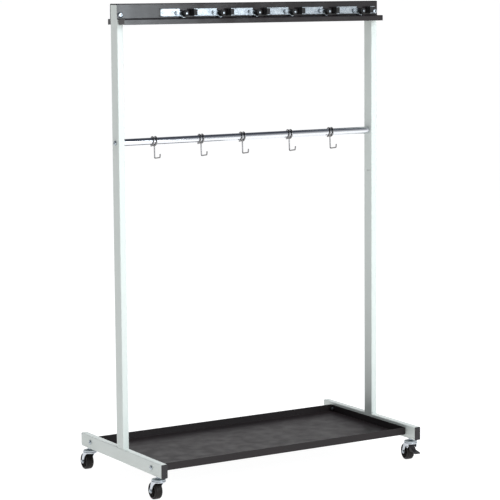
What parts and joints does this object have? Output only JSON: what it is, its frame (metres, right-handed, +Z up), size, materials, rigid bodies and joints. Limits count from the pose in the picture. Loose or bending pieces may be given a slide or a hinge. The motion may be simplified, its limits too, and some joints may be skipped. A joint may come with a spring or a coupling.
{
  "type": "mop and broom rack",
  "caption": "Wheeled rack for mops and brooms: two posts on feet with swivel casters, a top rail of roller grips, a bar with sliding wire hooks and a drip tray.",
  "frame": {"origin": "on the floor, under the middle of the rack", "axes": "+X along the rail to the right, +Y to the rear, +Z up; the roller grips and the hooks' feet face -Y"},
  "size_m": [0.9226, 0.5188, 1.4],
  "materials": {
    "frame_paint": "light grey satin powder coat",
    "rail_paint": "charcoal satin powder coat",
    "tray_paint": "charcoal satin powder coat, lightly worn inside",
    "chrome": "bright chrome plating",
    "bright_zinc": "bright zinc plating",
    "caster_steel": "pressed and zinc plated",
    "rubber": "matt moulded rubber",
    "black_plastic": "fine moulded texture",
    "wheel_black": "matt black, non-marking"
  },
  "bodies": {
    "frame": {"left_foot_tube": "frame_paint", "left_post": "frame_paint", "right_foot_tube": "frame_paint", "right_post": "frame_paint", "foot_end_caps": "black_plastic", "top_rail": "rail_paint", "rail_bolts": "bright_zinc", "rail_nuts": "bright_zinc", "hanging_bar": "chrome", "bar_end_plugs": "bright_zinc", "bar_bolts": "bright_zinc", "grip_bracket_1": "bright_zinc", "grip_bracket_2": "bright_zinc", "grip_bracket_3": "bright_zinc", "grip_bracket_4": "bright_zinc", "grip_bracket_5": "bright_zinc", "grip_bracket_6": "bright_zinc", "end_jaw_bracket": "bright_zinc", "jaw_pads": "rubber", "bracket_rivets": "bright_zinc", "lever_pivots": "bright_zinc", "drip_tray": "tray_paint", "tray_bolts": "bright_zinc", "tray_spacers": "black_plastic", "tray_nuts": "bright_zinc", "caster_stems": "bright_zinc", "stem_nuts": "bright_zinc"},
    "grip_lever_1": {"grip_lever_1": "bright_zinc"},
    "grip_roller_1": {"grip_roller_1": "rubber"},
    "grip_lever_2": {"grip_lever_2": "bright_zinc"},
    "grip_roller_2": {"grip_roller_2": "rubber"},
    "grip_lever_3": {"grip_lever_3": "bright_zinc"},
    "grip_roller_3": {"grip_roller_3": "rubber"},
    "grip_lever_4": {"grip_lever_4": "bright_zinc"},
    "grip_roller_4": {"grip_roller_4": "rubber"},
    "grip_lever_5": {"grip_lever_5": "bright_zinc"},
    "grip_roller_5": {"grip_roller_5": "rubber"},
    "grip_lever_6": {"grip_lever_6": "bright_zinc"},
    "grip_roller_6": {"grip_roller_6": "rubber"},
    "hook_1": {"hook_1": "chrome"},
    "hook_2": {"hook_2": "chrome"},
    "hook_3": {"hook_3": "chrome"},
    "hook_4": {"hook_4": "chrome"},
    "hook_5": {"hook_5": "chrome"},
    "caster_front_left": {"fork_front_left": "caster_steel", "axle_front_left": "bright_zinc"},
    "wheel_front_left": {"wheel_front_left": "wheel_black"},
    "caster_front_right": {"fork_front_right": "caster_steel", "axle_front_right": "bright_zinc"},
    "wheel_front_right": {"wheel_front_right": "wheel_black"},
    "brake_pedal_front_right": {"brake_pedal_front_right": "black_plastic"},
    "caster_rear_left": {"fork_rear_left": "caster_steel", "axle_rear_left": "bright_zinc"},
    "wheel_rear_left": {"wheel_rear_left": "wheel_black"},
    "caster_rear_right": {"fork_rear_right": "caster_steel", "axle_rear_right": "bright_zinc"},
    "wheel_rear_right": {"wheel_rear_right": "wheel_black"},
    "brake_pedal_rear_right": {"brake_pedal_rear_right": "black_plastic"}
  },
  "joints": [
    {"name": "grip_lever_1_swing", "type": "hinge", "parent": "frame", "child": "grip_lever_1", "pos_m": [-0.2555, -0.026, 1.3715], "axis": [0, -1, 0], "range_deg": [0, 70]},
    {"name": "grip_roller_1_spin", "type": "hinge", "parent": "grip_lever_1", "child": "grip_roller_1", "pos_m": [-0.2355, -0.036, 1.37], "axis": [0, -1, 0], "continuous": true},
    {"name": "grip_lever_2_swing", "type": "hinge", "parent": "frame", "child": "grip_lever_2", "pos_m": [-0.1315, -0.026, 1.3715], "axis": [0, -1, 0], "range_deg": [0, 70]},
    {"name": "grip_roller_2_spin", "type": "hinge", "parent": "grip_lever_2", "child": "grip_roller_2", "pos_m": [-0.1115, -0.036, 1.37], "axis": [0, -1, 0], "continuous": true},
    {"name": "grip_lever_3_swing", "type": "hinge", "parent": "frame", "child": "grip_lever_3", "pos_m": [-0.0075, -0.026, 1.3715], "axis": [0, -1, 0], "range_deg": [0, 70]},
    {"name": "grip_roller_3_spin", "type": "hinge", "parent": "grip_lever_3", "child": "grip_roller_3", "pos_m": [0.0125, -0.036, 1.37], "axis": [0, -1, 0], "continuous": true},
    {"name": "grip_lever_4_swing", "type": "hinge", "parent": "frame", "child": "grip_lever_4", "pos_m": [0.1165, -0.026, 1.3715], "axis": [0, -1, 0], "range_deg": [0, 70]},
    {"name": "grip_roller_4_spin", "type": "hinge", "parent": "grip_lever_4", "child": "grip_roller_4", "pos_m": [0.1365, -0.036, 1.37], "axis": [0, -1, 0], "continuous": true},
    {"name": "grip_lever_5_swing", "type": "hinge", "parent": "frame", "child": "grip_lever_5", "pos_m": [0.2405, -0.026, 1.3715], "axis": [0, -1, 0], "range_deg": [0, 70]},
    {"name": "grip_roller_5_spin", "type": "hinge", "parent": "grip_lever_5", "child": "grip_roller_5", "pos_m": [0.2605, -0.036, 1.37], "axis": [0, -1, 0], "continuous": true},
    {"name": "grip_lever_6_swing", "type": "hinge", "parent": "frame", "child": "grip_lever_6", "pos_m": [0.3645, -0.026, 1.3715], "axis": [0, -1, 0], "range_deg": [0, 70]},
    {"name": "grip_roller_6_spin", "type": "hinge", "parent": "grip_lever_6", "child": "grip_roller_6", "pos_m": [0.3845, -0.036, 1.37], "axis": [0, -1, 0], "continuous": true},
    {"name": "hook_1_slide", "type": "slide", "parent": "frame", "child": "hook_1", "axis": [1, 0, 0], "range_m": [-0.09, 0.13]},
    {"name": "hook_2_slide", "type": "slide", "parent": "frame", "child": "hook_2", "axis": [1, 0, 0], "range_m": [-0.13, 0.115]},
    {"name": "hook_3_slide", "type": "slide", "parent": "frame", "child": "hook_3", "axis": [1, 0, 0], "range_m": [-0.115, 0.14]},
    {"name": "hook_4_slide", "type": "slide", "parent": "frame", "child": "hook_4", "axis": [1, 0, 0], "range_m": [-0.14, 0.12]},
    {"name": "hook_5_slide", "type": "slide", "parent": "frame", "child": "hook_5", "axis": [1, 0, 0], "range_m": [-0.12, 0.12]},
    {"name": "caster_front_left_swivel", "type": "hinge", "parent": "frame", "child": "caster_front_left", "pos_m": [-0.44, -0.214, 0.054], "axis": [0, 0, 1], "continuous": true},
    {"name": "wheel_front_left_spin", "type": "hinge", "parent": "caster_front_left", "child": "wheel_front_left", "pos_m": [-0.44, -0.194, 0.025], "axis": [1, 0, 0], "continuous": true},
    {"name": "caster_front_right_swivel", "type": "hinge", "parent": "frame", "child": "caster_front_right", "pos_m": [0.44, -0.214, 0.054], "axis": [0, 0, 1], "continuous": true},
    {"name": "wheel_front_right_spin", "type": "hinge", "parent": "caster_front_right", "child": "wheel_front_right", "pos_m": [0.44261, -0.19417, 0.025], "axis": [0.9914, -0.1305, 0], "continuous": true},
    {"name": "brake_pedal_front_right_press", "type": "hinge", "parent": "caster_front_right", "child": "brake_pedal_front_right", "pos_m": [0.43922, -0.21995, 0.046], "axis": [0.9914, -0.1305, 0], "range_deg": [0, 12]},
    {"name": "caster_rear_left_swivel", "type": "hinge", "parent": "frame", "child": "caster_rear_left", "pos_m": [-0.44, 0.214, 0.054], "axis": [0, 0, 1], "continuous": true},
    {"name": "wheel_rear_left_spin", "type": "hinge", "parent": "caster_rear_left", "child": "wheel_rear_left", "pos_m": [-0.44, 0.234, 0.025], "axis": [1, 0, 0], "continuous": true},
    {"name": "caster_rear_right_swivel", "type": "hinge", "parent": "frame", "child": "caster_rear_right", "pos_m": [0.44, 0.214, 0.054], "axis": [0, 0, 1], "continuous": true},
    {"name": "wheel_rear_right_spin", "type": "hinge", "parent": "caster_rear_right", "child": "wheel_rear_right", "pos_m": [0.44, 0.234, 0.025], "axis": [1, 0, 0], "continuous": true},
    {"name": "brake_pedal_rear_right_press", "type": "hinge", "parent": "caster_rear_right", "child": "brake_pedal_rear_right", "pos_m": [0.44, 0.208, 0.046], "axis": [1, 0, 0], "range_deg": [0, 12]}
  ]
}
